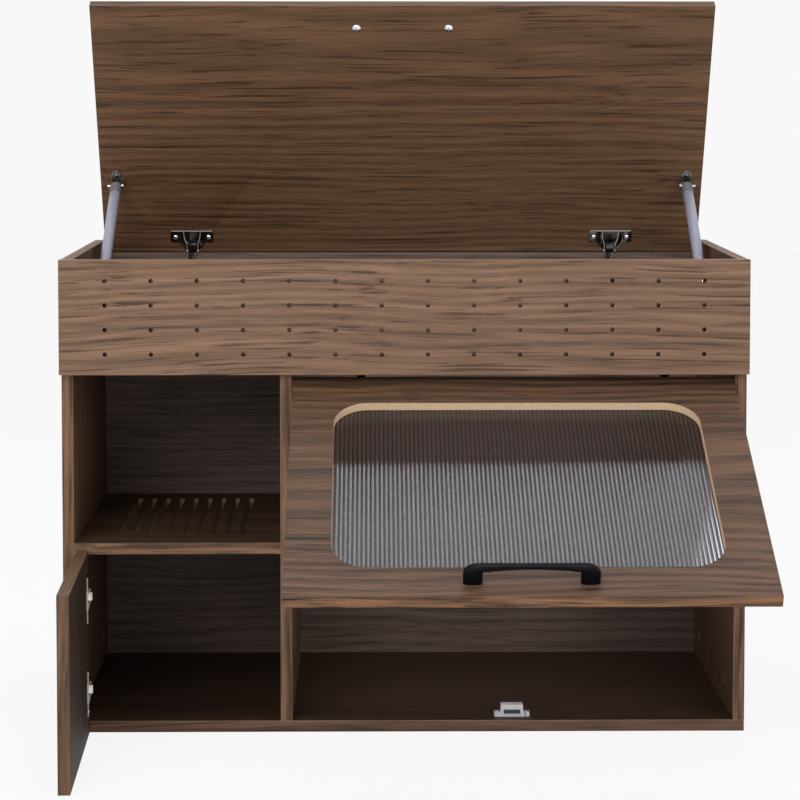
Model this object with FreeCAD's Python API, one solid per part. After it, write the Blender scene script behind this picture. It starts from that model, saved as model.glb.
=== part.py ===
import FreeCAD
import Part
import math
import os

# Cabinet that hides a cat litter box: walnut-faced boards, a lift-up lid on two gas struts, a
# swing-up flap with a fluted pane, and a small cupboard door under an open slotted shelf.
# All sizes are in millimetres. Origin: middle of the bottom panel's underside. +X is to the
# right seen from the front, +Y to the back, +Z up. Everything is drawn closed, then the lid,
# the flap and the door are swung to the open pose that the part rests in.

# ---- carcass --------------------------------------------------------------------------------
BOARD = 15.0               # thickness of every board
CARCASS_WIDTH = 897.0      # over the side panels
CARCASS_DEPTH = 400.0
CARCASS_HEIGHT = 625.0     # underside to rim
APRON_HEIGHT = 150.0       # front board of the top box
APRON_PROUD = 1.5          # past each side panel
CUPBOARD_WIDTH = 270.5     # between the left side panel and the divider
SHELF_TOP = 252.0          # upper face of the slotted shelf
RAIL_DEPTH = 60.0          # board behind the apron that carries the flap's hinges

VENT_COLUMNS = 14
VENT_ROWS = 4
VENT_PITCH_X = 60.0
VENT_PITCH_Z = 32.0
VENT_RADIUS = 2.9
VENT_FROM_RIM = 27.0       # top row below the rim

SLOT_COUNT = 9
SLOT_PITCH = 20.0
SLOT_WIDTH = 8.0
SLOT_LENGTH = 279.0
SLOT_FROM_SIDE = 55.5      # first slot's middle from the left side panel
SLOT_FROM_FRONT = 60.0

# ---- swinging boards ------------------------------------------------------------------------
LID_SIDE_GAP = 1.0
LID_FRONT_GAP = 2.0
LID_REAR_GAP = 1.0         # lid's rear edge short of the back panel's rear face
LID_SEAT_GAP = 3.0         # closed lid above the back panel
FLAP_SIDE_GAP = 1.5
FLAP_TOP_GAP = 5.0
FLAP_BOTTOM_GAP = 2.0
DOOR_SEAT_GAP = 2.9        # closed door in front of the carcass
DOOR_HINGE_GAP = 0.5       # door's hinged edge past the left side panel's inner face
DOOR_OVERLAP = 13.0        # on the divider's front edge
DOOR_FLOOR_GAP = 1.5
DOOR_TOP_REVEAL = 8.5      # shelf edge left bare above the door
LID_OPEN = 62.5            # degrees from closed
FLAP_OPEN = 63.0
DOOR_OPEN = 88.0

# ---- window ---------------------------------------------------------------------------------
WINDOW_SIDE_MARGIN = 55.0
WINDOW_TOP_MARGIN = 60.0
WINDOW_BOTTOM_MARGIN = 55.0
WINDOW_RADIUS = 45.0
REBATE_WIDTH = 8.0         # past the window's edge, on the flap's inner face
REBATE_DEPTH = 4.0
PANE_CLEARANCE = 0.5       # between the pane and the rebate's walls
PANE_THICKNESS = 3.9
FLUTE_COUNT = 88
FLUTE_DEPTH = 0.8
CLIP_LENGTH = 24.0
CLIP_WIDTH = 10.0
CLIP_THICKNESS = 1.2
CLIP_HOLD = 7.0            # onto the pane from the rebate's wall

# ---- screws ---------------------------------------------------------------------------------
SCREW_RADIUS = 1.75
SCREW_LENGTH = 11.0
SCREW_HEAD_RADIUS = 3.6
SCREW_HEAD_HEIGHT = 1.6
SCREW_FIT = 0.1            # radial clearance in a board or a plate
CROSS_WIDTH = 0.9          # recess in a screw's head or a cam's face

# ---- handles --------------------------------------------------------------------------------
HANDLE_HOLES = 128.0
HANDLE_LENGTH = 160.0
HANDLE_WIDTH = 13.0
HANDLE_FOOT = 23.0
HANDLE_SHOULDER = 20.0     # height at which the bow meets its rounded ends
HANDLE_RISE = 25.0         # height in the middle
HANDLE_BAR = 6.5           # thickness of the bow
LID_HANDLE_INSET = 35.0    # screws from the lid's front edge
FLAP_HANDLE_INSET = 28.0   # screws from the flap's bottom edge
HANDLE_SCREW_RADIUS = 2.0
HANDLE_SCREW_GRIP = 12.0   # length inside the handle's foot
HANDLE_HEAD_RADIUS = 6.0
HANDLE_HEAD_HEIGHT = 3.0

# ---- cup hinges -----------------------------------------------------------------------------
PIN_DEPTH = 11.0           # pin below the board's inner face
PIN_EDGE = 8.0             # pin from the board's hinged edge
PIN_RADIUS = 1.0
PIN_LENGTH = 23.2
PIN_RUNNING_FIT = 0.05
CUP_RADIUS = 17.5
CUP_DEPTH = 13.9
CUP_WALL = 1.2
CUP_FLOOR = 0.7
CUP_EDGE = 20.0            # cup's middle from the board's edge
CUP_FIT = 0.1
FLANGE_THICKNESS = 1.2
FLANGE_RIM = 1.0           # rim past the cup
FLANGE_LENGTH = 62.0
FLANGE_WIDTH = 20.0
FLANGE_EDGE = 26.0         # flange bar's middle from the board's edge
FLANGE_SCREW_EDGE = 24.5
FLANGE_SCREW_PITCH = 48.0
ARM_WIDTH = 11.0
ARM_HUB_RADIUS = 2.0
ARM_THICKNESS = 2.0
ARM_BEND_RADIUS = 14.2     # inside of the bend that goes round the board's corner
ARM_TILT = 5.0             # degrees between the arm's root and the closed board
ARM_LEG_THICKNESS = 3.0
ARM_REACH = 55.0           # from the pin to the leg's end
PLATE_START = 28.0
PLATE_LENGTH = 20.0
PLATE_WIDTH = 34.0
PLATE_THICKNESS = 2.0
PLATE_SCREW_PITCH = 24.0
LID_HINGE_OFFSET = 305.0   # each side of the middle
FLAP_HINGE_OFFSET = 200.0
DOOR_HINGE_INSET = 59.5    # from the door's ends

# ---- gas struts -----------------------------------------------------------------------------
STUD_FROM_LID_EDGE = 116.6
STUD_DROP = 11.0           # below the lid's inner face
STUD_FROM_SIDE = 23.5      # strut's upper end from the side panel's inner face
STUD_RADIUS = 3.0
STUD_HEAD_RIM = 1.0        # head past the stud
STUD_FIT = 0.06
TUBE_RADIUS = 7.5
TUBE_WALL = 1.2
TUBE_END = 143.0           # stud to the tube's open end
CAP_RADIUS = 8.2
CAP_LENGTH = 14.0          # below the stud
GUIDE_LENGTH = 9.0
ROD_RADIUS = 3.0
ROD_LENGTH = 128.0         # foot's middle to the rod's upper end
ROD_FIT = 0.06
FOOT_FROM_SIDE = 12.5      # foot's middle from the side panel's inner face
FOOT_FROM_FRONT = 150.0
FOOT_ABOVE_LOFT = 40.0     # foot above the underside of the top box
FOOT_RADIUS = 5.0
FOOT_LENGTH = 12.0
OPEN_PIVOT_GAP = 1.2       # between the foot and the stud of its bracket
BRACKET_THICKNESS = 1.8
EAR_GAP = 1.2              # between the cap and the bracket's ear
EAR_WIDTH = 11.0
LID_PLATE_RADIUS = 7.0
LID_PLATE_LENGTH = 11.0    # stud to the plate's screw
FOOT_PLATE_HEIGHT = 30.0
FOOT_PLATE_WIDTH = 15.0
FOOT_SCREW_PITCH = 20.0

# ---- magnetic catch -------------------------------------------------------------------------
CATCH_BASE_WIDTH = 47.0
CATCH_BASE_HEIGHT = 5.5
CATCH_WIDTH = 29.5
CATCH_DEPTH = 14.0
CATCH_HEIGHT = 16.0
CATCH_GAP = 0.4            # between the poles and the strike plate
CATCH_SLIT = 1.2
CATCH_KNOB = 5.0
MAGNET_WIDTH = 22.0
MAGNET_DEPTH = 9.0
MAGNET_HEIGHT = 5.0
MAGNET_RISE = 4.5          # above the bottom panel
POLE_THICKNESS = 1.0
POLE_PROUD = 0.6
MAGNET_FIT = 0.1
STRIKE_WIDTH = 38.0
STRIKE_HEIGHT = 12.0
STRIKE_THICKNESS = 1.5
STRIKE_RISE = 1.5          # above the flap's bottom edge

# ---- cam fittings ---------------------------------------------------------------------------
CAM_RADIUS = 7.5
CAM_DEPTH = 12.0
CAM_INSET = 33.0           # cam's middle from the joint
CAM_BOLT_RADIUS = 3.0
CAM_BOLT_GRIP = 9.0        # bolt's length in the next board
CAM_FIT = 0.1
CAM_FROM_FRONT = 86.0
CAM_FROM_REAR = 67.0

# ---- planes worked out from the sizes above --------------------------------------------------
V = FreeCAD.Vector
X, Y, Z = V(1, 0, 0), V(0, 1, 0), V(0, 0, 1)
FRONT = -CARCASS_DEPTH / 2
REAR = CARCASS_DEPTH / 2
OUTER = CARCASS_WIDTH / 2
INNER = OUTER - BOARD
RIM = CARCASS_HEIGHT
LOFT = RIM - APRON_HEIGHT            # underside of the top box
BACK_FACE = REAR - BOARD
DIVIDER_LEFT = CUPBOARD_WIDTH - INNER
DIVIDER_RIGHT = DIVIDER_LEFT + BOARD
SHELF_BOTTOM = SHELF_TOP - BOARD
LID_UNDER = RIM - BOARD
LID_REAR = REAR - LID_REAR_GAP
LID_FRONT = FRONT + LID_FRONT_GAP
BACK_TOP = LID_UNDER - LID_SEAT_GAP
FLAP_LEFT = DIVIDER_RIGHT + FLAP_SIDE_GAP
FLAP_RIGHT = INNER - FLAP_SIDE_GAP
FLAP_MIDDLE = (FLAP_LEFT + FLAP_RIGHT) / 2
FLAP_TOP = LOFT - FLAP_TOP_GAP
FLAP_BOTTOM = BOARD + FLAP_BOTTOM_GAP
FLAP_FACE = FRONT + BOARD            # inner face of the closed flap
DOOR_FACE = FRONT - DOOR_SEAT_GAP    # inner face of the closed door
DOOR_LEFT = DOOR_HINGE_GAP - INNER
DOOR_RIGHT = DIVIDER_LEFT + DOOR_OVERLAP
DOOR_TOP = SHELF_TOP - DOOR_TOP_REVEAL
LID_AXIS = V(0, LID_REAR - PIN_EDGE, LID_UNDER + PIN_DEPTH)
FLAP_AXIS = V(0, FLAP_FACE - PIN_DEPTH, FLAP_TOP - PIN_EDGE)
DOOR_AXIS = V(DOOR_LEFT + PIN_EDGE, DOOR_FACE - PIN_DEPTH, 0)
SWING = {
    "lid": (LID_AXIS, X, -LID_OPEN),
    "flap": (FLAP_AXIS, X, -FLAP_OPEN),
    "door": (DOOR_AXIS, Z, -DOOR_OPEN),
}

pieces = {}
holes = {}


def add(body, node, *solids):
    """Give a node its solids; body says which swinging board it moves with."""
    pieces.setdefault(node, (body, []))[1].extend(solids)


def drill(node, *tools):
    """Take these tools out of a node when the part is put together."""
    holes.setdefault(node, []).extend(tools)


def box(x0, x1, y0, y1, z0, z1):
    return Part.makeBox(x1 - x0, y1 - y0, z1 - z0, V(x0, y0, z0))


def bar(radius, start, direction, length):
    return Part.makeCylinder(radius, length, start, direction)


def fused(*solids):
    return solids[0].multiFuse(list(solids[1:])).removeSplitter()


def rounded(solid, radius, axis):
    """Fillet the edges of a box that run along an axis."""
    edges = [e for e in solid.Edges if abs(e.tangentAt(e.FirstParameter).dot(axis)) > 0.99]
    return solid.makeFillet(radius, edges)


def axes_at(origin, ex, ey, ez):
    return FreeCAD.Placement(origin, FreeCAD.Rotation(ex, ey, ez, "XYZ"))


def aimed(origin, out):
    """Placement whose local +Z points out."""
    return FreeCAD.Placement(origin, FreeCAD.Rotation(Z, out))


def put(shape, placement):
    moved = shape.copy()
    moved.Placement = placement.multiply(moved.Placement)
    return moved


def cross(radius, depth):
    """Cross-shaped recess, sunk from z = 0."""
    one = box(-radius, radius, -CROSS_WIDTH / 2, CROSS_WIDTH / 2, -depth, depth)
    other = box(-CROSS_WIDTH / 2, CROSS_WIDTH / 2, -radius, radius, -depth, depth)
    return fused(one, other)


def screw(radius, length, head_radius, head_height):
    """Domed screw with its head's seat at z = 0 and its shank along -z."""
    dome = (head_radius ** 2 + head_height ** 2) / (2 * head_height)
    ball = Part.makeSphere(dome, V(0, 0, head_height - dome))
    head = ball.common(bar(head_radius, V(0, 0, 0), Z, head_height))
    body = fused(head, bar(radius, V(0, 0, -length), Z, length + head_height / 2))
    return body.cut(put(cross(head_radius * 0.6, head_height * 0.5), aimed(V(0, 0, head_height), Z)))


def wood_screw(body, node, board, seat, out):
    """Small screw seated at a point, and its hole in the board."""
    shape = screw(SCREW_RADIUS, SCREW_LENGTH, SCREW_HEAD_RADIUS, SCREW_HEAD_HEIGHT)
    add(body, node, put(shape, aimed(seat, out)))
    drill(board, bar(SCREW_RADIUS + SCREW_FIT, seat, out * -1, SCREW_LENGTH + SCREW_FIT))


# ---- boards -----------------------------------------------------------------------------------
def build_carcass():
    add("carcass", "bottom_panel", box(-OUTER, OUTER, FRONT, REAR, 0, BOARD))
    add("carcass", "left_side_panel", box(-OUTER, -INNER, FRONT, REAR, BOARD, RIM))
    add("carcass", "right_side_panel", box(INNER, OUTER, FRONT, REAR, BOARD, RIM))
    add("carcass", "back_panel", box(-INNER, INNER, BACK_FACE, REAR, BOARD, BACK_TOP))
    add("carcass", "divider_panel", box(DIVIDER_LEFT, DIVIDER_RIGHT, FRONT, BACK_FACE, BOARD, LOFT))
    add("carcass", "tray_floor", box(-INNER, DIVIDER_RIGHT, FRONT, BACK_FACE, LOFT, LOFT + BOARD))
    add("carcass", "flap_rail", box(DIVIDER_RIGHT, INNER, FRONT, FRONT + RAIL_DEPTH, LOFT, LOFT + BOARD))


def build_shelf():
    shelf = box(-INNER, DIVIDER_LEFT, FRONT, BACK_FACE, SHELF_BOTTOM, SHELF_TOP)
    slot = rounded(box(0, SLOT_WIDTH, 0, SLOT_LENGTH, 0, 3 * BOARD), SLOT_WIDTH * 0.499, Z)
    corner = V(SLOT_FROM_SIDE - INNER - SLOT_WIDTH / 2, FRONT + SLOT_FROM_FRONT, SHELF_BOTTOM - BOARD)
    slots = [slot.translated(corner + X * (i * SLOT_PITCH)) for i in range(SLOT_COUNT)]
    add("carcass", "slotted_shelf", shelf.cut(slots))


def build_apron():
    """Front board of the top box with its rows of small air holes."""
    half = OUTER + APRON_PROUD
    apron = box(-half, half, FRONT - BOARD, FRONT, LOFT, RIM)
    vents = []
    for column in range(VENT_COLUMNS):
        x = (column - (VENT_COLUMNS - 1) / 2) * VENT_PITCH_X
        for row in range(VENT_ROWS):
            z = RIM - VENT_FROM_RIM - row * VENT_PITCH_Z
            vents.append(bar(VENT_RADIUS, V(x, FRONT - 2 * BOARD, z), Y, 3 * BOARD))
    add("carcass", "vented_apron", apron.cut(vents))


def build_door():
    outer_face = DOOR_FACE - BOARD
    add("door", "door_panel", box(DOOR_LEFT, DOOR_RIGHT, outer_face, DOOR_FACE, DOOR_FLOOR_GAP, DOOR_TOP))


def build_lid():
    half = INNER - LID_SIDE_GAP
    add("lid", "lid_panel", box(-half, half, LID_FRONT, LID_REAR, LID_UNDER, RIM))
    handle("lid", V(0, LID_FRONT + LID_HANDLE_INSET, RIM), Z)


def build_flap():
    """Framed flap with a fluted pane held in a rebate by small clips."""
    x0, x1 = FLAP_LEFT + WINDOW_SIDE_MARGIN, FLAP_RIGHT - WINDOW_SIDE_MARGIN
    z0, z1 = FLAP_BOTTOM + WINDOW_BOTTOM_MARGIN, FLAP_TOP - WINDOW_TOP_MARGIN
    frame = box(FLAP_LEFT, FLAP_RIGHT, FRONT, FLAP_FACE, FLAP_BOTTOM, FLAP_TOP)
    window = rounded(box(x0, x1, FRONT - BOARD, FLAP_FACE + BOARD, z0, z1), WINDOW_RADIUS, Y)
    seat = REBATE_WIDTH
    rebate = box(x0 - seat, x1 + seat, FLAP_FACE - REBATE_DEPTH, FLAP_FACE + BOARD, z0 - seat, z1 + seat)
    add("flap", "flap_panel", frame.cut([window, rebate]))
    grow = REBATE_WIDTH - PANE_CLEARANCE
    add("flap", "fluted_pane", fluted_pane(x0 - grow, x1 + grow, z0 - grow, z1 + grow))
    for part in (1 / 6, 1 / 2, 5 / 6):
        x = x0 + part * (x1 - x0)
        clip(V(x, FLAP_FACE, z0 - REBATE_WIDTH), Z * -1)
        clip(V(x, FLAP_FACE, z1 + REBATE_WIDTH), Z)
    for part in (1 / 4, 3 / 4):
        z = z0 + part * (z1 - z0)
        clip(V(x0 - REBATE_WIDTH, FLAP_FACE, z), X * -1)
        clip(V(x1 + REBATE_WIDTH, FLAP_FACE, z), X)
    handle("flap", V(FLAP_MIDDLE, FRONT, FLAP_BOTTOM + FLAP_HANDLE_INSET), Y * -1)


def fluted_pane(x0, x1, z0, z1):
    """Glass with round vertical flutes on its outer face."""
    front = FLAP_FACE - REBATE_DEPTH
    valley = front + FLUTE_DEPTH
    back = front + PANE_THICKNESS
    pitch = (x1 - x0) / FLUTE_COUNT
    edges = []
    for i in range(FLUTE_COUNT):
        x = x0 + i * pitch
        crest = V(x + pitch / 2, front, z0)
        edges.append(Part.Arc(V(x, valley, z0), crest, V(x + pitch, valley, z0)).toShape())
    edges.append(Part.makeLine(V(x1, valley, z0), V(x1, back, z0)))
    edges.append(Part.makeLine(V(x1, back, z0), V(x0, back, z0)))
    edges.append(Part.makeLine(V(x0, back, z0), V(x0, valley, z0)))
    return Part.Face(Part.Wire(edges)).extrude(Z * (z1 - z0))


def clip(edge, away):
    """Clip that holds the pane by one end, with its screw beyond the rebate's wall."""
    half = CLIP_LENGTH / 2
    middle = edge + away * (half - CLIP_HOLD)
    side = CLIP_WIDTH / 2
    plate = rounded(box(-half, half, -side, side, 0, CLIP_THICKNESS), CLIP_WIDTH * 0.3, Z)
    plate = put(plate, axes_at(middle, away, Y.cross(away), Y))
    seat = middle + away * (half / 2) + Y * CLIP_THICKNESS
    hole = bar(SCREW_RADIUS + SCREW_FIT, seat, Y * -1, CLIP_THICKNESS)
    add("flap", "pane_clips", plate.cut(hole))
    wood_screw("flap", "pane_clip_screws", "flap_panel", seat, Y)


# ---- handles ------------------------------------------------------------------------------------
def handle(board, middle, out):
    """Bow handle on a board's outer face, with two screws from the inner face."""
    half = HANDLE_LENGTH / 2
    inside = half - HANDLE_FOOT
    shoulder = half - HANDLE_FOOT * 0.7
    under = HANDLE_SHOULDER - HANDLE_BAR
    points = [V(half, 0, 0), V(half, 0, HANDLE_SHOULDER * 0.6), V(shoulder, 0, HANDLE_SHOULDER + 1)]
    bulge = V(half - HANDLE_FOOT * 0.2, 0, HANDLE_SHOULDER * 0.9)
    mirror = [V(-p.x, 0, p.z) for p in points]
    top = Part.Arc(points[2], V(0, 0, HANDLE_RISE), mirror[2]).toShape()
    below = Part.Arc(V(-inside, 0, under), V(0, 0, HANDLE_RISE - HANDLE_BAR), V(inside, 0, under)).toShape()
    wire = Part.Wire([
        Part.makeLine(points[0], points[1]),
        Part.Arc(points[1], bulge, points[2]).toShape(),
        top,
        Part.Arc(mirror[2], V(-bulge.x, 0, bulge.z), mirror[1]).toShape(),
        Part.makeLine(mirror[1], mirror[0]),
        Part.makeLine(mirror[0], V(-inside, 0, 0)),
        Part.makeLine(V(-inside, 0, 0), V(-inside, 0, under)),
        below,
        Part.makeLine(V(inside, 0, under), V(inside, 0, 0)),
        Part.makeLine(V(inside, 0, 0), points[0]),
    ])
    side_view = Part.Face(wire).extrude(Y * HANDLE_WIDTH).translated(Y * (-HANDLE_WIDTH / 2))
    plan = box(-half, half, -HANDLE_WIDTH / 2, HANDLE_WIDTH / 2, 0, 2 * HANDLE_RISE)
    bow = side_view.common(rounded(plan, HANDLE_WIDTH * 0.45, Z))
    place = axes_at(middle, X, out.cross(X), out)
    for side in (-1, 1):
        foot = V(side * HANDLE_HOLES / 2, 0, 0)
        length = BOARD + HANDLE_SCREW_GRIP
        bore = bar(HANDLE_SCREW_RADIUS + SCREW_FIT, foot - Z * BOARD, Z, length + SCREW_FIT)
        bow = bow.cut(bore)
        drill(board + "_panel", put(bore, place))
        fixing = screw(HANDLE_SCREW_RADIUS, length, HANDLE_HEAD_RADIUS, HANDLE_HEAD_HEIGHT)
        add(board, board + "_handle_screws", put(put(fixing, aimed(foot - Z * BOARD, Z * -1)), place))
    add(board, board + "_handle", put(bow, place))


# ---- cup hinges: local frame with the pin at the origin along z, x into the board from its
# ---- hinged edge, and y out of the board's inner face -------------------------------------------
def hinge_cup():
    """Cup with its rim, flange bar and pin in one pressed piece."""
    middle = CUP_EDGE - PIN_EDGE
    floor = PIN_DEPTH - CUP_DEPTH
    bar_middle = FLANGE_EDGE - PIN_EDGE
    half = FLANGE_LENGTH / 2
    flange = box(bar_middle - FLANGE_WIDTH / 2, bar_middle + FLANGE_WIDTH / 2,
                 PIN_DEPTH, PIN_DEPTH + FLANGE_THICKNESS, -half, half)
    body = fused(bar(CUP_RADIUS, V(middle, floor, 0), Y, CUP_DEPTH),
                 bar(CUP_RADIUS + FLANGE_RIM, V(middle, PIN_DEPTH, 0), Y, FLANGE_THICKNESS),
                 rounded(flange, FLANGE_WIDTH * 0.2, Y))
    inside = bar(CUP_RADIUS - CUP_WALL, V(middle, floor + CUP_FLOOR, 0), Y, CUP_DEPTH + FLANGE_THICKNESS)
    body = fused(body.cut(inside), bar(PIN_RADIUS, V(0, 0, -PIN_LENGTH / 2), Z, PIN_LENGTH))
    for side in (-1, 1):
        seat = V(FLANGE_SCREW_EDGE - PIN_EDGE, PIN_DEPTH, side * FLANGE_SCREW_PITCH / 2)
        body = body.cut(bar(SCREW_RADIUS + SCREW_FIT, seat, Y, FLANGE_THICKNESS))
    return body


def hinge_arm(wall):
    """Hub, root, bend and leg in one strip, with a plate on the carcass board at x = wall."""
    low = V(0, 0, -ARM_WIDTH / 2)
    mean = ARM_BEND_RADIUS + ARM_THICKNESS / 2
    leg_middle = wall + ARM_LEG_THICKNESS / 2
    stop = math.degrees(math.acos(leg_middle / mean))
    ring = Part.makeCylinder(ARM_BEND_RADIUS + ARM_THICKNESS, ARM_WIDTH, low, Z, stop - ARM_TILT)
    ring = ring.cut(bar(ARM_BEND_RADIUS, low - Z, Z, ARM_WIDTH + 2))
    root = Part.makeBox(mean, ARM_THICKNESS, ARM_WIDTH, low - Y * (ARM_THICKNESS / 2))
    for shape in (ring, root):
        shape.rotate(V(0, 0, 0), Z, ARM_TILT)
    leg_start = mean * math.sin(math.radians(stop))
    half = ARM_WIDTH / 2
    leg = box(wall, wall + ARM_LEG_THICKNESS, leg_start, ARM_REACH, -half, half)
    half = PLATE_WIDTH / 2
    plate = box(wall, wall + PLATE_THICKNESS, PLATE_START, PLATE_START + PLATE_LENGTH, -half, half)
    hub = bar(ARM_HUB_RADIUS, low, Z, ARM_WIDTH)
    arm = fused(hub, root, ring, leg, rounded(plate, PLATE_LENGTH * 0.2, X))
    tools = [bar(PIN_RADIUS + PIN_RUNNING_FIT, low - Z, Z, ARM_WIDTH + 2)]
    for side in (-1, 1):
        seat = V(wall, PLATE_START + PLATE_LENGTH / 2, side * PLATE_SCREW_PITCH / 2)
        tools.append(bar(SCREW_RADIUS + SCREW_FIT, seat, X, PLATE_THICKNESS))
    return arm.cut(tools)


def hinge(body, end, carcass_board, place, wall):
    """One hinge: the cup rides on the swinging board, the arm stays on the carcass board."""
    board = body + "_panel"
    add(body, body + "_hinge_cup_" + end, put(hinge_cup(), place))
    add("carcass", body + "_hinge_arm_" + end, put(hinge_arm(wall), place))
    bottom = V(CUP_EDGE - PIN_EDGE, PIN_DEPTH - CUP_DEPTH - CUP_FIT, 0)
    recess = bar(CUP_RADIUS + CUP_FIT, bottom, Y, 2 * CUP_DEPTH)
    drill(board, put(recess, place))
    turn = place.Rotation
    for side in (-1, 1):
        seat = V(FLANGE_SCREW_EDGE - PIN_EDGE, PIN_DEPTH + FLANGE_THICKNESS, side * FLANGE_SCREW_PITCH / 2)
        wood_screw(body, body + "_hinge_cup_screws", board, place.multVec(seat), turn.multVec(Y))
        seat = V(wall + PLATE_THICKNESS, PLATE_START + PLATE_LENGTH / 2, side * PLATE_SCREW_PITCH / 2)
        wood_screw("carcass", "hinge_plate_screws", carcass_board, place.multVec(seat), turn.multVec(X))


def build_hinges():
    for end, side in (("left", -1), ("right", 1)):
        origin = LID_AXIS + X * (side * LID_HINGE_OFFSET)
        hinge("lid", end, "back_panel", axes_at(origin, Y * -1, Z * -1, X), LID_AXIS.y - BACK_FACE)
        origin = FLAP_AXIS + X * (FLAP_MIDDLE + side * FLAP_HINGE_OFFSET)
        hinge("flap", end, "flap_rail", axes_at(origin, Z * -1, Y, X), FLAP_AXIS.z - LOFT)
    heights = {"lower": DOOR_FLOOR_GAP + DOOR_HINGE_INSET, "upper": DOOR_TOP - DOOR_HINGE_INSET}
    for end, height in heights.items():
        place = axes_at(DOOR_AXIS + Z * height, X, Y, Z)
        hinge("door", end, "left_side_panel", place, -INNER - DOOR_AXIS.x)


# ---- gas struts -----------------------------------------------------------------------------------
def opened(point):
    """Where a point of the closed lid lies when the lid is open."""
    vertex = Part.Vertex(point)
    vertex.rotate(*SWING["lid"])
    return vertex.Point


def strut_axes(side):
    """Stud and foot of one strut with the lid open, and the stud's axis. The strut leans
    outwards to its foot, so the axis is square to the run from stud to foot both with the lid
    open and with it closed, and points to the side panel."""
    closed_stud = V(side * (INNER - STUD_FROM_SIDE), LID_REAR - STUD_FROM_LID_EDGE, LID_UNDER - STUD_DROP)
    foot = V(side * (INNER - FOOT_FROM_SIDE), FRONT + FOOT_FROM_FRONT, LOFT + FOOT_ABOVE_LOFT)
    stud = opened(closed_stud)
    closed_run = opened(foot) - opened(closed_stud)
    axis = (foot - stud).cross(closed_run)
    axis.normalize()
    return stud, foot, axis * (side * math.copysign(1, axis.x))


def build_strut(end, side):
    """Tube on the lid's stud and rod on a foot, in a local frame with z from stud to foot."""
    stud, foot, axis = strut_axes(side)
    run = foot - stud
    length = run.Length
    run.normalize()
    place = axes_at(stud, axis, run.cross(axis), run)
    bore = TUBE_RADIUS - TUBE_WALL
    top = V(0, 0, -CAP_RADIUS)
    cap = bar(CAP_RADIUS, top, Z, CAP_RADIUS + CAP_LENGTH)
    nose = fused(bar(CAP_RADIUS, V(-2 * CAP_RADIUS, 0, 0), X, 4 * CAP_RADIUS),
                 box(-2 * CAP_RADIUS, 2 * CAP_RADIUS, -CAP_RADIUS, CAP_RADIUS, 0, CAP_LENGTH))
    cap = cap.common(nose).cut(bar(STUD_RADIUS + STUD_FIT, V(-2 * CAP_RADIUS, 0, 0), X, 4 * CAP_RADIUS))
    tube = bar(TUBE_RADIUS, V(0, 0, CAP_LENGTH), Z, TUBE_END - CAP_LENGTH)
    tube = tube.cut(bar(bore, V(0, 0, CAP_LENGTH + TUBE_WALL), Z, TUBE_END))
    guide = bar(bore, V(0, 0, TUBE_END - GUIDE_LENGTH), Z, GUIDE_LENGTH)
    guide = guide.cut(bar(ROD_RADIUS + ROD_FIT, V(0, 0, 0), Z, TUBE_END))
    add("strut", "strut_cap_" + end, put(cap, place))
    add("strut", "strut_tube_" + end, put(tube, place))
    add("strut", "strut_guide_" + end, put(guide, place))
    rod_start = length - ROD_LENGTH
    seat = length - FOOT_LENGTH
    rod = bar(ROD_RADIUS, V(0, 0, rod_start), Z, ROD_LENGTH - FOOT_LENGTH)
    add("strut", "strut_rod_" + end, put(rod, place))
    ball = Part.makeSphere(FOOT_RADIUS, V(0, 0, length))
    shoe = fused(bar(FOOT_RADIUS, V(0, 0, seat), Z, FOOT_LENGTH), ball)
    add("strut", "strut_foot_" + end, put(shoe, place))
    build_lid_bracket(end, side, stud, axis)
    build_foot_bracket(end, side, foot)


def build_lid_bracket(end, side, stud, axis):
    """Plate on the lid, ear outside the cap and the stud through it. Local x runs outwards to
    the side panel, y towards the lid's front edge and z out of its inner face."""
    closed_seat = V(side * (INNER - STUD_FROM_SIDE), LID_REAR - STUD_FROM_LID_EDGE, LID_UNDER)
    ear_start = CAP_RADIUS + EAR_GAP
    ear_end = ear_start + BRACKET_THICKNESS
    half = EAR_WIDTH / 2
    thin = BRACKET_THICKNESS
    disc = bar(LID_PLATE_RADIUS, V(0, LID_PLATE_LENGTH, 0), Z, thin)
    foot = box(-half, ear_end, -half, half, 0, thin)
    neck = box(-half, half, 0, LID_PLATE_LENGTH, 0, thin)
    ear = box(ear_start, ear_end, -half, half, 0, STUD_DROP + half)
    ear = rounded(ear, half * 0.8, X)
    ear = fused(ear, box(ear_start, ear_end, -half, half, 0, STUD_DROP))
    hole = bar(SCREW_RADIUS + SCREW_FIT, V(0, LID_PLATE_LENGTH, 0), Z, thin)
    bracket = fused(disc, foot, neck, ear).cut(hole)
    place = FreeCAD.Placement(closed_seat, FreeCAD.Rotation(X * side, Y * -1, Z * -1, "YZX"))
    if side > 0:
        bracket = bracket.mirror(V(0, 0, 0), X)
        place = FreeCAD.Placement(closed_seat, FreeCAD.Rotation(X * -1, Y * -1, Z * -1, "YZX"))
    bracket = put(bracket, place)
    bracket.rotate(*SWING["lid"])
    pin = bar(STUD_RADIUS, stud - axis * (CAP_RADIUS + thin / 2), axis, ear_end + CAP_RADIUS + thin)
    head = bar(STUD_RADIUS + STUD_HEAD_RIM, stud - axis * (CAP_RADIUS + thin), axis, thin * 0.7)
    add("strut", "strut_lid_bracket_" + end, fused(bracket, pin, head))
    seat = closed_seat + V(0, -LID_PLATE_LENGTH, -thin)
    wood_screw("lid", "strut_lid_screws", "lid_panel", seat, Z * -1)


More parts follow.
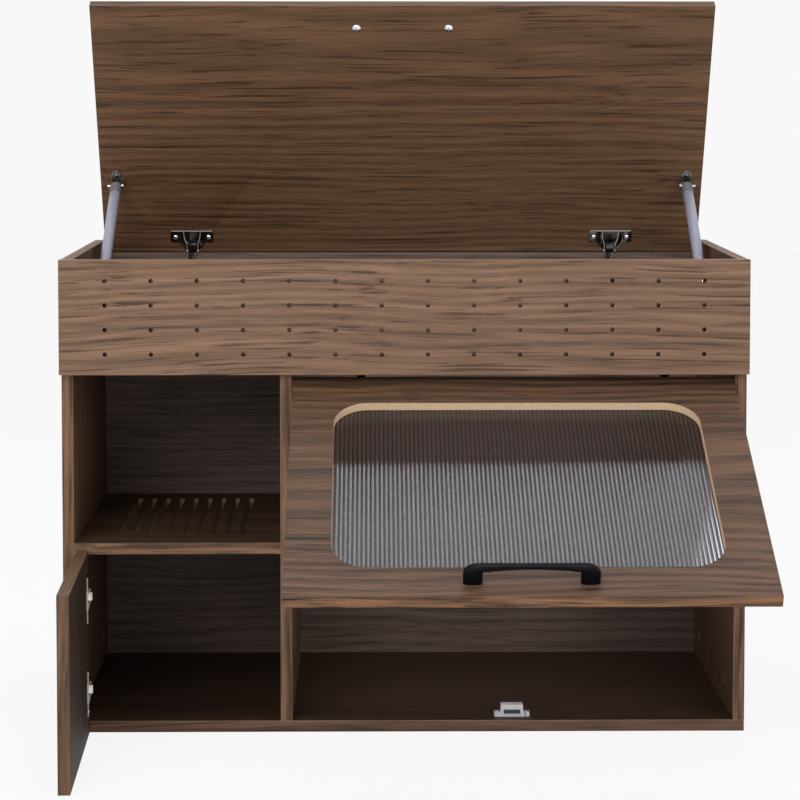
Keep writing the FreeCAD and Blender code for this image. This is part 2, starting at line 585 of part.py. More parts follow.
def build_foot_bracket(end, side, foot):
    """Plate on the side panel with a stud that stops short of the strut's foot."""
    wall = side * INNER
    face = wall - side * BRACKET_THICKNESS
    half = FOOT_PLATE_WIDTH / 2
    tall = FOOT_PLATE_HEIGHT / 2
    low, high = min(wall, face), max(wall, face)
    plate = box(low, high, foot.y - half, foot.y + half, foot.z - tall, foot.z + tall)
    plate = rounded(plate, half * 0.6, X)
    stud_length = FOOT_FROM_SIDE - FOOT_RADIUS - OPEN_PIVOT_GAP
    stud = bar(STUD_RADIUS, V(wall, foot.y, foot.z), X * -side, stud_length)
    bracket = fused(plate, stud)
    board = ("left" if side < 0 else "right") + "_side_panel"
    for way in (-1, 1):
        seat = V(face, foot.y, foot.z + way * FOOT_SCREW_PITCH / 2)
        bracket = bracket.cut(bar(SCREW_RADIUS + SCREW_FIT, seat, X * side, BRACKET_THICKNESS))
        wood_screw("carcass", "strut_foot_screws", board, seat, X * -side)
    add("carcass", "strut_foot_bracket_" + end, bracket)


# ---- magnetic catch -------------------------------------------------------------------------------
def build_catch():
    """Catch on the bottom panel, and the strike plate that it holds on the closed flap."""
    poles = FLAP_FACE + STRIKE_THICKNESS + CATCH_GAP
    face = poles + POLE_PROUD
    rear = face + CATCH_DEPTH
    half_base = CATCH_BASE_WIDTH / 2
    half = CATCH_WIDTH / 2
    base = box(-half_base, half_base, face, rear, BOARD, BOARD + CATCH_BASE_HEIGHT)
    shell = box(-half, half, face, rear, BOARD, BOARD + CATCH_HEIGHT)
    housing = fused(rounded(base, CATCH_BASE_HEIGHT * 0.3, Z), rounded(shell, CATCH_HEIGHT * 0.08, Y))
    magnet_low = BOARD + MAGNET_RISE
    magnet_high = magnet_low + MAGNET_HEIGHT
    grip = MAGNET_WIDTH / 2
    deep = face + MAGNET_DEPTH
    room = MAGNET_FIT
    pocket = box(-grip - room, grip + room, face - 1, deep + room,
                 magnet_low - POLE_THICKNESS - room, magnet_high + POLE_THICKNESS + room)
    slit_x = half_base - CATCH_KNOB
    slit = box(slit_x - CATCH_SLIT, slit_x, face - 1, face + CATCH_DEPTH / 2, BOARD, BOARD + CATCH_BASE_HEIGHT)
    housing = housing.cut([pocket, slit])
    ear = (half + half_base) / 2
    place = FreeCAD.Placement(V(FLAP_MIDDLE, 0, 0), FreeCAD.Rotation())
    for side in (-1, 1):
        seat = V(side * ear, (face + rear) / 2, BOARD + CATCH_BASE_HEIGHT)
        housing = housing.cut(bar(SCREW_RADIUS + SCREW_FIT, seat, Z * -1, CATCH_BASE_HEIGHT))
        wood_screw("carcass", "catch_screws", "bottom_panel", place.multVec(seat), Z)
    add("carcass", "catch_housing", put(housing, place))
    add("carcass", "catch_magnet", put(box(-grip, grip, face, deep, magnet_low, magnet_high), place))
    for low in (magnet_low - POLE_THICKNESS, magnet_high):
        pole = box(-grip, grip, poles, deep, low, low + POLE_THICKNESS)
        add("carcass", "catch_poles", put(pole, place))
    half_strike = STRIKE_WIDTH / 2
    low = FLAP_BOTTOM + STRIKE_RISE
    strike = box(-half_strike, half_strike, FLAP_FACE, FLAP_FACE + STRIKE_THICKNESS, low, low + STRIKE_HEIGHT)
    for side in (-1, 1):
        seat = V(side * (half_strike - SCREW_HEAD_RADIUS - 1), FLAP_FACE + STRIKE_THICKNESS, low + STRIKE_HEIGHT / 2)
        sink = Part.makeCone(SCREW_HEAD_RADIUS, SCREW_RADIUS, STRIKE_THICKNESS, seat, Y * -1)
        shank = bar(SCREW_RADIUS, seat, Y * -1, SCREW_LENGTH)
        bore = bar(SCREW_RADIUS + SCREW_FIT, seat, Y * -1, SCREW_LENGTH + SCREW_FIT)
        strike = strike.cut([Part.makeCone(SCREW_HEAD_RADIUS + SCREW_FIT, SCREW_RADIUS + SCREW_FIT,
                                           STRIKE_THICKNESS, seat, Y * -1)])
        add("flap", "strike_screws", put(fused(sink, shank), place))
        drill("flap_panel", put(bore, place))
    add("flap", "strike_plate", put(strike, place))


# ---- cam fittings ---------------------------------------------------------------------------------
def cam_fitting(board, mate, joint, face, towards):
    """Cam in a board's face and the bolt that it draws out of the mating board. joint is the
    point of the face where the boards meet."""
    centre = joint - towards * CAM_INSET
    middle = centre - face * (BOARD / 2)
    channel = bar(CAM_BOLT_RADIUS + CAM_FIT, middle, towards, CAM_INSET + CAM_BOLT_GRIP + CAM_FIT)
    cam = bar(CAM_RADIUS, centre, face * -1, CAM_DEPTH)
    cam = cam.cut([channel, put(cross(CAM_RADIUS * 0.6, BOARD * 0.15), aimed(centre, face))])
    recess = bar(CAM_RADIUS + CAM_FIT, centre, face * -1, CAM_DEPTH + CAM_FIT)
    add("carcass", "cams", cam)
    add("carcass", "cam_bolts", bar(CAM_BOLT_RADIUS, middle, towards, CAM_INSET + CAM_BOLT_GRIP))
    drill(board, recess, channel)
    drill(mate, channel)


def build_cams():
    down = Z * -1
    for y in (FRONT + CAM_FROM_FRONT, REAR - CAM_FROM_REAR):
        cam_fitting("left_side_panel", "bottom_panel", V(-INNER, y, BOARD), X, down)
        cam_fitting("divider_panel", "bottom_panel", V(DIVIDER_RIGHT, y, BOARD), X, down)
        cam_fitting("right_side_panel", "bottom_panel", V(INNER, y, BOARD), X * -1, down)
        cam_fitting("slotted_shelf", "left_side_panel", V(-INNER, y, SHELF_BOTTOM), down, X * -1)
        cam_fitting("slotted_shelf", "divider_panel", V(DIVIDER_LEFT, y, SHELF_BOTTOM), down, X)
        cam_fitting("tray_floor", "left_side_panel", V(-INNER, y, LOFT), down, X * -1)
    for share in (1 / 3, 2 / 3):
        z = LOFT + BOARD + share * (APRON_HEIGHT - BOARD)
        cam_fitting("left_side_panel", "vented_apron", V(-INNER, FRONT, z), X, Y * -1)
        cam_fitting("right_side_panel", "vented_apron", V(INNER, FRONT, z), X * -1, Y * -1)


def write_parts():
    """Drill each node, swing it to its open pose and write it."""
    os.makedirs("parts", exist_ok=True)
    for node, (body, solids) in pieces.items():
        if node in holes:
            solids = [solid.cut(holes[node]) for solid in solids]
        shape = solids[0] if len(solids) == 1 else Part.makeCompound(solids)
        if body in SWING:
            shape = shape.copy()
            shape.rotate(*SWING[body])
        shape.exportStep("parts/" + node + ".step")


build_carcass()
build_shelf()
build_apron()
build_lid()
build_flap()
build_door()
build_hinges()
build_strut("left", -1)
build_strut("right", 1)
build_catch()
build_cams()
write_parts()
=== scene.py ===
import math
import bmesh
import bpy
import numpy as np
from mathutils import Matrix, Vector


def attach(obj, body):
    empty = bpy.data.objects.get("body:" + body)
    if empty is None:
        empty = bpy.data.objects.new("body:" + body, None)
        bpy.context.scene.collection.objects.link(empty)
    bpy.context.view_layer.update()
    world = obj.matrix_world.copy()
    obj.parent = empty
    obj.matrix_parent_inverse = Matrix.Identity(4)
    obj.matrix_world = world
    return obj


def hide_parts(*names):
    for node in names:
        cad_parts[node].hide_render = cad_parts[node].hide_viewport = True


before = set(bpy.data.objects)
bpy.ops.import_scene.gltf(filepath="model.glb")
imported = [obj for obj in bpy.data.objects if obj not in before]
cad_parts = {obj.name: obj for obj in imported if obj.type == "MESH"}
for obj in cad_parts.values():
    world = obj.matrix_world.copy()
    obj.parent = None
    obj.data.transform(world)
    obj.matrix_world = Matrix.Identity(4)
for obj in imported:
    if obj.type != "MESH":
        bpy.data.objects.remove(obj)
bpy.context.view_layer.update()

scene = bpy.context.scene
scene.view_settings.view_transform = "Standard"

# ---- camera ------------------------------------------------------------------------------------
# Stands 3.3 m in front of the cabinet at a person's chest height, nearly level, with a long lens.
# The view is shifted down so that the uprights stay parallel.
camera_data = bpy.data.cameras.new("camera")
camera_data.sensor_width = 36.0
camera_data.lens = 108.49
camera_data.shift_x = 0.0050
camera_data.shift_y = -0.2239
camera_data.clip_end = 50.0
camera = bpy.data.objects.new("camera", camera_data)
camera.location = (-0.04106, -3.3386, 0.85069)
camera.rotation_euler = (math.pi / 2 - 0.0559, 0.0, -0.0095)
scene.collection.objects.link(camera)
scene.camera = camera


# ---- carcass boards ----------------------------------------------------------------------------
# Particle boards 15 mm thick with a printed walnut face and matching edge bands, joined with cam
# fittings. Each board is the imported solid with its arrises eased by half a millimetre; on most
# boards the eased faces are coloured paler as a painted highlight.
EASED = 0.0005
SWAY = 0.030                # how far the grain wanders across itself
CARCASS_BROWN = (0.158, 0.086, 0.050)
CORE_TAN = (0.70, 0.49, 0.31)
# Paler than the print: the painted highlight on the eased arrises.
ARRIS_HIGHLIGHT_TAN = (0.34, 0.215, 0.135)
FINE = 2.4                  # how much narrower the bands of the edge prints are than the faces'
FLAT_COSINE, FLAT_REACH = 0.99, 0.0002      # a face this square and this far out is an outer one
FACE, BAND, CORE, EDGE, ARRIS, OUTER = range(6)
ALONG = {"X": (1, 0, 0), "Y": (0, 1, 0), "Z": (0, 0, 1)}
BOARDS = {      # grain, across, brightness of the faces and of the edges, heart of the figure
    # Bottom panel and tray floor faces are coloured darker than the sides': painted shade inside.
    "bottom_panel": ("X", "Y", 0.28, 0.74, (0.1, 0.06, -0.04)),
    "left_side_panel": ("Z", "Y", 0.85, 1.05, (0.03, 0.2, 0.0)),
    "right_side_panel": ("Z", "Y", 0.85, 1.05, (0.07, -0.1, 0.3)),
    "divider_panel": ("Z", "Y", 0.85, 1.05, (0.12, 0.11, 0.2)),
    "tray_floor": ("X", "Y", 0.70, 0.70, (0.2, 0.02, 0.1)),
    "flap_rail": ("X", "Y", 0.70, 0.70, (0.5, 0.3, 0.05)),
}


def nodes_of(tree):
    """Clears a node tree and gives the function that adds one node to it, with its settings and
    its inputs, each a value or another node's output."""
    tree.nodes.clear()

    def node(kind, inputs=None, **settings):
        made = tree.nodes.new("ShaderNode" + kind)
        for key, value in settings.items():
            setattr(made, key, value)
        for key, value in (inputs or {}).items():
            if isinstance(value, bpy.types.NodeSocket):
                tree.links.new(value, made.inputs[key])
            else:
                made.inputs[key].default_value = value
        return made

    return node


def shader(name):
    """Empty material and the function that adds its nodes."""
    material = bpy.data.materials.new(name)
    material.use_nodes = True
    return material, nodes_of(material.node_tree)


def noise(node, place, scale, detail, roughness=0.5):
    """Noise of the place, with its grey output first and its colour output second."""
    return node("TexNoise", {0: place, "Scale": scale, "Detail": detail,
                             "Roughness": roughness}).outputs


def ramp(node, value, stops):
    """Colour ramp through (position, colour) stops; a plain number is a grey."""
    made = node("ValToRGB", {0: value})
    line = made.color_ramp.elements
    while len(line) < len(stops):
        line.new(0.5)
    for element, (position, colour) in zip(line, stops):
        element.position = position
        grey = (colour,) * 3 if isinstance(colour, float) else tuple(colour)
        element.color = grey + (1.0,)
    return made.outputs[0]


def shade(colour, factor):
    """The colour times the factor, no channel above 1."""
    return tuple(min(1.0, c * factor) for c in colour)


def product(node, colour, factor):
    """Two colours multiplied."""
    return node("Mix", {0: 1.0, 6: colour, 7: factor}, data_type="RGBA",
                blend_type="MULTIPLY").outputs[2]


def surface(node, colour, relief, rough, dents, depth, **sockets):
    """Closes a material: its roughness runs between two limits with the relief, which also bumps
    it. Further sockets of the shader are given by name, with _ for a space."""
    matt = node("MapRange", {0: relief, "To Min": rough[0], "To Max": rough[1]}).outputs[0]
    bump = node("Bump", {"Height": relief, "Strength": dents, "Distance": depth}).outputs[0]
    inputs = {"Base Color": colour, "Roughness": matt, "Normal": bump}
    inputs.update({key.replace("_", " "): value for key, value in sockets.items()})
    node("OutputMaterial", {0: node("BsdfPrincipled", inputs).outputs[0]})


def walnut(name, grain, colour, heart, turn=(0.0, 0.0, 0.0), lines=0.45, gloss=0.46, figure=1.0,
           fine=1.0):
    """Walnut print: bands, growth rings about the heart line, dark veins and fine fibres. Each is
    a noise or a wave of the place, shrunk along the grain, once a slow noise has moved the place
    across it. lines is how dark the veins are, figure how strong the bands, fine how narrow."""
    material, node = shader(name)

    def shrunk(place, along, across=1.0):
        scale = [along if axis == grain else across for axis in "XYZ"]
        return node("Mapping", {0: place, "Scale": scale}).outputs[0]

    def blend(share, one, other):
        return node("Mix", {0: share, 2: one, 3: other}, data_type="FLOAT").outputs[0]

    place = node("TexCoord").outputs["Object"]
    place = node("Mapping", {0: place, "Location": heart, "Rotation": turn}).outputs[0]
    slow = noise(node, shrunk(place, 1.0, 2.2), 2.6, 1.5, 0.45)[1]
    slow = node("VectorMath", {0: slow, 1: (0.5, 0.5, 0.5)}, operation="SUBTRACT").outputs[0]
    sway = [0.0 if axis == grain else SWAY for axis in "XYZ"]
    slow = node("VectorMath", {0: slow, 1: sway}, operation="MULTIPLY").outputs[0]
    bent = node("VectorMath", {0: place, 1: slow}, operation="ADD").outputs[0]

    rings = node("TexWave", {0: shrunk(bent, 1 / 16), "Scale": 30.0, "Distortion": 5.0,
                             "Detail": 3.0, "Detail Scale": 0.6, "Detail Roughness": 0.6},
                 wave_type="RINGS", rings_direction=grain).outputs[1]
    bands = noise(node, shrunk(bent, 1 / 38), 62.0 * fine, 5.0, 0.76)[0]
    veins = noise(node, shrunk(bent, 1 / 60), 300.0, 3.0, 0.60)[0]
    fibres = noise(node, shrunk(bent, 1 / 30), 420.0, 3.0, 0.65)[0]
    mixed = blend(0.36, blend(0.22, bands, rings), fibres)
    stops = ((0.34, -0.42), (0.45, -0.12), (0.54, 0.10), (0.68, 0.45))
    printed = ramp(node, mixed, [(at, shade(colour, 1 + figure * change)) for at, change in stops])
    dark = ramp(node, veins, [(0.36, 1.0 - lines), (0.44, 1.0)])
    surface(node, product(node, printed, dark), fibres, (gloss - 0.06, gloss + 0.16), 0.3, 0.0004,
            Specular_IOR_Level=0.22)
    return material


def chipboard(name, colour):
    """Raw sawn edge: flakes of two sizes as noises of the place, pale with dark flecks."""
    material, node = shader(name)
    place = node("TexCoord").outputs["Object"]
    flakes = noise(node, place, 420.0, 4.0, 0.65)[0]
    tone = ramp(node, flakes, [(0.30, shade(colour, 0.82)), (0.50, colour),
                               (0.70, shade(colour, 1.14))])
    flecks = ramp(node, noise(node, place, 900.0, 2.0)[0], [(0.30, 0.78), (0.40, 1.0)])
    surface(node, product(node, tone, flecks), flakes, (0.75, 0.95), 0.6, 0.0005,
            Specular_IOR_Level=0.2)
    return material


def merged(node, *materials):
    """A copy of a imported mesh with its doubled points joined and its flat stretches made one."""
    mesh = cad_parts[node].data.copy()
    work = bmesh.new()
    work.from_mesh(mesh)
    bmesh.ops.remove_doubles(work, verts=work.verts, dist=1e-6)
    bmesh.ops.dissolve_limit(work, angle_limit=math.radians(0.3), verts=work.verts,
                             edges=work.edges)
    work.to_mesh(mesh)
    work.free()
    mesh.materials.clear()
    for material in materials:
        mesh.materials.append(material)
    return mesh


def shown(name, mesh, body, nodes, smooth=35.0):
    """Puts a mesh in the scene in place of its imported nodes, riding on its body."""
    mesh.shade_smooth()
    mesh.set_sharp_from_angle(angle=math.radians(smooth))
    piece = bpy.data.objects.new(name, mesh)
    scene.collection.objects.link(piece)
    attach(piece, body)
    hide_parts(*nodes)
    return piece


def ease(piece, width, material=-1):
    """Rounds a piece's arrises; the new faces take a material slot, or their neighbours' at -1."""
    eased = piece.modifiers.new("eased_arrises", "BEVEL")
    eased.width = width
    eased.material = material
    eased.segments = 2
    eased.limit_method = "ANGLE"
    eased.angle_limit = math.radians(40)
    eased.harden_normals = True


def triples(items, key):
    """One vector of each vertex or face, as an array of rows."""
    values = np.zeros(len(items) * 3)
    items.foreach_get(key, values)
    return values.reshape(-1, 3)


def board(node, body, grain, across, face, edge, band, core, arris_highlight=True, outer=None):
    """A packed board. Its two wide sides take the face print, the long edges the edge's, the ends
    the band's and all cuts the core. The eased arrises take a paler painted highlight when
    arris_highlight is set, else their neighbours' print. An outer print covers the wide side that
    looks away from grain x across."""
    mesh = merged(node, face, band, core, edge, painted_arris_highlight, outer or face)
    axes = np.array([grain, across, np.cross(grain, across)], float).T
    points = triples(mesh.vertices, "co") @ axes
    normals, middles = (triples(mesh.polygons, key) @ axes for key in ("normal", "center"))
    inset = np.minimum(np.abs(middles - points.min(0)), np.abs(middles - points.max(0)))
    flat = (np.abs(normals) > FLAT_COSINE) & (inset < FLAT_REACH)
    kind = np.full(len(mesh.polygons), CORE)
    kind[flat[:, 2]] = np.where(normals[flat[:, 2], 2] < 0, OUTER, FACE)
    kind[flat[:, 0]] = BAND
    kind[flat[:, 1]] = EDGE
    mesh.polygons.foreach_set("material_index", kind)
    ease(shown(node + "_board", mesh, body, [node]), EASED, ARRIS if arris_highlight else -1)


raw_edge = chipboard("raw_board_edge", CORE_TAN)
# Painted highlight along the boards' eased arrises.
painted_arris_highlight = chipboard("painted_arris_highlight", ARRIS_HIGHLIGHT_TAN)
for node_name, (along_axis, across_axis, tone, edge_tone, heart) in BOARDS.items():
    edge_brown = shade(CARCASS_BROWN, edge_tone)
    face = walnut(node_name + "_walnut", along_axis, shade(CARCASS_BROWN, tone), heart)
    edge = walnut(node_name + "_edge", along_axis, edge_brown, heart, figure=1.7, fine=FINE)
    band = walnut(node_name + "_band", across_axis, edge_brown, heart)
    board(node_name, "carcass", ALONG[along_axis], ALONG[across_axis], face, edge, band, raw_edge)


# ---- back panel --------------------------------------------------------------------------------
# The same board, coloured greyer as painted shade, let in between the sides and fixed with cams.
# Its long edges are coloured near black, the top one as a painted shadow of the lid.
BACK_SHADE_GREY = (0.152, 0.104, 0.082)
heart = (0.0, 0.05, 0.13)
face = walnut("back_walnut", "X", BACK_SHADE_GREY, heart)
# Painted shadow: the long edges at a quarter of the face's brightness.
edge = walnut("back_edge_shadow", "X", shade(BACK_SHADE_GREY, 0.25), heart, gloss=0.7)
band = walnut("back_band", "Z", BACK_SHADE_GREY, heart)
board("back_panel", "carcass", ALONG["X"], ALONG["Z"], face, edge, band, raw_edge)


# ---- slotted shelf -----------------------------------------------------------------------------
# Shelf over the cupboard, of the same board, with nine slots routed through it from front to back.
# Its faces are coloured darker than the carcass as painted shade, and the slots' walls are the bare
# core, darkened by half as painted shade inside the slots.
heart = (0.3, 0.05, 0.02)
# Painted shade: the shelf's faces at under half the carcass brightness.
face = walnut("shelf_walnut", "X", shade(CARCASS_BROWN, 0.45), heart)
edge = walnut("shelf_edge", "X", shade(CARCASS_BROWN, 1.25), heart, lines=0.6, figure=1.8,
              fine=FINE)
band = walnut("shelf_band", "Y", CARCASS_BROWN, heart)
shaded_slot_wall = chipboard("shaded_slot_wall", shade(CORE_TAN, 0.48))
board("slotted_shelf", "carcass", ALONG["X"], ALONG["Y"], face, edge, band, shaded_slot_wall, arris_highlight=False)


# ---- vented apron ------------------------------------------------------------------------------
# Front board of the top box, a little wider than the carcass, with four rows of drilled air holes.
# It shows the liveliest figure, long and level.
# Brighter than the carcass print: painted light where the front lamps fall on the apron.
APRON_LIT_BROWN = (0.205, 0.120, 0.075)
heart = (0.0, 0.27, -0.47)
face = walnut("apron_walnut", "X", APRON_LIT_BROWN, heart, lines=0.6)
# Paler long edges: a painted highlight on the top edge, lit from above.
edge = walnut("apron_edge_highlight", "X", shade(APRON_LIT_BROWN, 1.6), heart, fine=FINE)
band = walnut("apron_band", "Z", APRON_LIT_BROWN, heart)
# Near-black hole walls: painted shade inside the air holes.
shaded_hole_wall = walnut("air_hole_painted_shade", "Y", shade(CARCASS_BROWN, 0.12), (0.0, 0.0, 0.0), gloss=0.7)
board("vented_apron", "carcass", ALONG["X"], ALONG["Z"], face, edge, band, shaded_hole_wall, arris_highlight=False)


# ---- lid ---------------------------------------------------------------------------------------
# Lift-up board over the top box, on two cup hinges and two gas struts. Its inner face is the one
# that shows.
LID_BROWN = (0.135, 0.070, 0.036)
PINS = {        # a point on each hinge line, its direction, and the turn from closed in degrees
    "lid": ((0.0, 0.191, 0.621), "X", -62.5),
    "flap": ((0.0, -0.196, 0.462), "X", -63.0),
    "door": ((-0.425, -0.2139, 0.0), "Z", -88.0),
}


def swing(points, board_name):
    """Places on a closed board, turned about its hinge pin to the open pose: pin + R (p - pin)."""
    pin, axis, angle = PINS[board_name]
    c, s = math.cos(math.radians(angle)), math.sin(math.radians(angle))
    turn = [[1, 0, 0], [0, c, -s], [0, s, c]] if axis == "X" else [[c, -s, 0], [s, c, 0], [0, 0, 1]]
    return (np.asarray(points, float) - pin) @ np.array(turn).T + pin


def swung_axis(axis, board_name):
    """A direction on a closed board, turned to the open pose."""
    return swing(axis, board_name) - swing((0, 0, 0), board_name)


def turned_back(board_name):
    """Angles that lay the print of an open board's ends square to the board again."""
    _, axis, angle = PINS[board_name]
    return tuple(math.radians(-angle) if letter == axis else 0.0 for letter in "XYZ")


heart = (0.1, 0.12, -0.83)
face = walnut("lid_walnut", "X", LID_BROWN, heart, lines=0.6)
band = walnut("lid_band", "Y", LID_BROWN, heart, turn=turned_back("lid"))
board("lid_panel", "lid", ALONG["X"], swung_axis(ALONG["Y"], "lid"), face, face, band, raw_edge)


# ---- flap --------------------------------------------------------------------------------------
# Framed door of the litter room that swings up. Its round-cornered window is routed out and shows
# the pale core.
FLAP_BROWN = (0.104, 0.056, 0.033)
FLAP_EDGE_BROWN = (0.165, 0.083, 0.043)
heart = (0.4, 0.28, -0.20)
face = walnut("flap_walnut", "X", FLAP_BROWN, heart, lines=0.6, figure=1.5)
edge = walnut("flap_edge", "X", FLAP_EDGE_BROWN, heart, lines=0.75, figure=2.0, fine=FINE)
band = walnut("flap_band", "Z", FLAP_BROWN, heart, turn=turned_back("flap"))
board("flap_panel", "flap", ALONG["X"], swung_axis(ALONG["Z"], "flap"), face, edge, band, raw_edge)


# ---- cupboard door -----------------------------------------------------------------------------
# Small door under the shelf, of the same board with upright grain, on two cup hinges. Its inner
# face is coloured far darker than its outer one, as painted shade.
heart = (0.5, 0.35, 0.1)
# Painted shade: the inner face at about a fifth of the carcass brightness.
face = walnut("door_inner_painted_shade", "Z", shade(CARCASS_BROWN, 0.22), heart, gloss=0.6)
edge = walnut("door_edge", "Z", shade(CARCASS_BROWN, 0.80), heart, figure=1.6, fine=FINE)
band = walnut("door_band", "X", CARCASS_BROWN, heart, turn=turned_back("door"))
front = walnut("door_front", "Z", shade(CARCASS_BROWN, 0.95), heart)
board("door_panel", "door", ALONG["Z"], swung_axis(ALONG["X"], "door"), face, edge, band, raw_edge,
      outer=front)


# ---- fluted pane -------------------------------------------------------------------------------
# Pressed glass with upright round flutes on its outer face, flat behind, lying in the flap's
# rebate. The flutes blur what is behind them and pull reflections into upright streaks.
PANE_X = (-0.0990, 0.3845)
PANE_Z = (0.0645, 0.4175)
PANE_Y = (-0.189, -0.1851)       # crests of the flutes and flat back, on the closed flap
PANE_ROWS = 7
FLUTES = 88
FLUTE_DEPTH = 0.0008
FLUTE_STEPS = 14
# Tints across a flute: painted shade in the valleys, painted highlight on the crests.
VALLEY_SHADE_GREY, SLOPE_GREY, CREST_HIGHLIGHT_GREY = (0.38, 0.40, 0.47), (0.68, 0.72, 0.84), (0.78, 0.81, 0.92)


def skin(name, *stacks):
    """Closed surface over each stack of rings: point (i, j) is point j of ring i, and the first and
    last rings are closed with a face each. Rings of one point's size shut to a pole."""
    points, faces, start = [], [], 0
    for rings in stacks:
        rows, count, _ = rings.shape
        index = start + np.arange(rows * count).reshape(rows, count)
        beside = np.roll(index, -1, axis=1)
        quads = np.stack([index[:-1], beside[:-1], beside[1:], index[1:]], -1)
        faces += quads.reshape(-1, 4).tolist() + [index[0, ::-1].tolist(), index[-1].tolist()]
        points.append(rings.reshape(-1, 3))
        start += rows * count
    mesh = bpy.data.meshes.new(name)
    mesh.from_pydata(np.concatenate(points).tolist(), [], faces)
    work = bmesh.new()
    work.from_mesh(mesh)
    bmesh.ops.remove_doubles(work, verts=work.verts, dist=2e-7)
    bmesh.ops.dissolve_degenerate(work, edges=work.edges, dist=1e-7)
    bmesh.ops.recalc_face_normals(work, faces=work.faces)
    work.to_mesh(mesh)
    work.free()
    return mesh


def formed(name, body, finish, nodes, material, smooth, *stacks):
    """A piece made of rings, with its one material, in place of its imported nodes."""
    mesh = skin(name, *stacks)
    mesh.materials.append(material)
    shown(name, mesh, body, nodes, smooth)


def fluted_glass(name):
    """Clear glass, coloured darker in the flutes' valleys and paler and bluer on their crests by a
    wave along x with the flutes' pitch: painted shade and highlight streaks. Unevenly polished by a
    slow noise of the place."""
    material, node = shader(name)
    place = node("TexCoord").outputs["Object"]
    polish = noise(node, place, 45.0, 2.0)[0]
    pitch = (PANE_X[1] - PANE_X[0]) / FLUTES
    start = node("Mapping", {0: place, "Location": (-PANE_X[0], 0.0, 0.0)}).outputs[0]
    wave = node("TexWave", {0: start, "Scale": 2 * math.pi / (20 * pitch)}, bands_direction="X")
    tint = ramp(node, wave.outputs[1], [(0.05, VALLEY_SHADE_GREY), (0.40, SLOPE_GREY), (1.0, CREST_HIGHLIGHT_GREY)])
    surface(node, tint, polish, (0.006, 0.024), 0.03, 0.0003, Transmission_Weight=1.0, IOR=1.38)
    return material


def fluted_sheet():
    """Level rings up the pane: across the front the depth follows |sin|, one hump a flute, and the
    back is one straight line."""
    across = np.linspace(0.0, 1.0, FLUTES * FLUTE_STEPS + 1)
    crown = np.abs(np.sin(np.pi * across * FLUTES)) * FLUTE_DEPTH
    front = np.stack([PANE_X[0] + across * (PANE_X[1] - PANE_X[0]),
                      PANE_Y[0] + FLUTE_DEPTH - crown], -1)
    back = np.array([[PANE_X[1], PANE_Y[1]], [PANE_X[0], PANE_Y[1]]])
    profile = np.concatenate([front, back])
    heights = np.linspace(*PANE_Z, PANE_ROWS)[:, None, None]
    return np.concatenate([np.broadcast_to(profile, (PANE_ROWS, *profile.shape)),
                           np.broadcast_to(heights, (PANE_ROWS, len(profile), 1))], -1)


formed("fluted_pane_glass", "flap", "fluted_glass", ["fluted_pane"], fluted_glass("fluted_glass"),
       50, swing(fluted_sheet(), "flap"))


# ---- bow handles -------------------------------------------------------------------------------
# Cast zinc bows powder-coated black, 128 mm between the screws, one on the flap and one on the
# lid's outer face. Each is held by two screws from inside.
HANDLE_HALF, HANDLE_INSIDE = 0.080, 0.057       # outer and inner faces of the feet, from the middle
HANDLE_HALF_WIDTH = 0.0065
HANDLE_TOP, HANDLE_SHOULDER, HANDLE_BAR = 0.025, 0.0237, 0.0053
SHOULDER_FROM_MIDDLE = 0.0645
THROAT = 0.004                                  # radius where a foot meets the bar
HANDLE_SQUARE, HANDLE_WAIST = 0.62, 0.30        # how square across, how much narrower in the middle
HANDLE_BLACK = (0.0030, 0.0032, 0.0055)
HANDLES = {     # middle on the closed board's outer face, and the direction out of the face
    "lid": ((0, -0.163, 0.625), (0, 0, 1)),
    "flap": ((0.14275, -0.200, 0.045), (0, -1, 0)),
}


def coat(name, colour, rough, metallic=0.0, mottle=0.12, grain=900.0, dents=0.15, **sockets):
    """Coated, plated or moulded surface: its colour wanders with a slow noise of the place, and
    its roughness and small dents with a fine one."""
    material, node = shader(name)
    place = node("TexCoord").outputs["Object"]
    slow = noise(node, place, 38.0, 4.0, 0.6)[0]
    fine = noise(node, place, grain, 2.0)[0]
    tone = ramp(node, slow, [(0.32, shade(colour, 1 - mottle)), (0.68, shade(colour, 1 + mottle))])
    surface(node, tone, fine, (rough * 0.75, rough * 1.25), dents, 0.0002, Metallic=metallic,
            **sockets)
    return material


def around(count, power=1.0, start=0.0):
    """Cosines and sines of even angles round a full turn; a power below 1 squares the circle."""
    angle = start + np.linspace(0, 2 * np.pi, count, endpoint=False)
    return tuple(np.sign(a) * np.abs(a) ** power for a in (np.cos(angle), np.sin(angle)))


def bow_outline(foot, rise, shoulder, height, top):
    """From foot to foot: a straight rise, a quarter ellipse to the shoulder, and an arch whose
    height is top at the middle and falls to the shoulder's with the square of x."""
    lean = np.linspace(0, 1, 15) * np.pi / 2
    x = np.linspace(shoulder, 0, 24)
    half = np.concatenate([
        np.stack([np.full(5, foot), np.linspace(0, rise, 5)], -1)[:-1],
        np.stack([foot - (foot - shoulder) * (1 - np.cos(lean)),
                  rise + (height - rise) * np.sin(lean)], -1)[:-1],
        np.stack([x, height + (top - height) * (1 - (x / shoulder) ** 2)], -1)])
    return np.concatenate([half, half[-2::-1] * (-1, 1)])


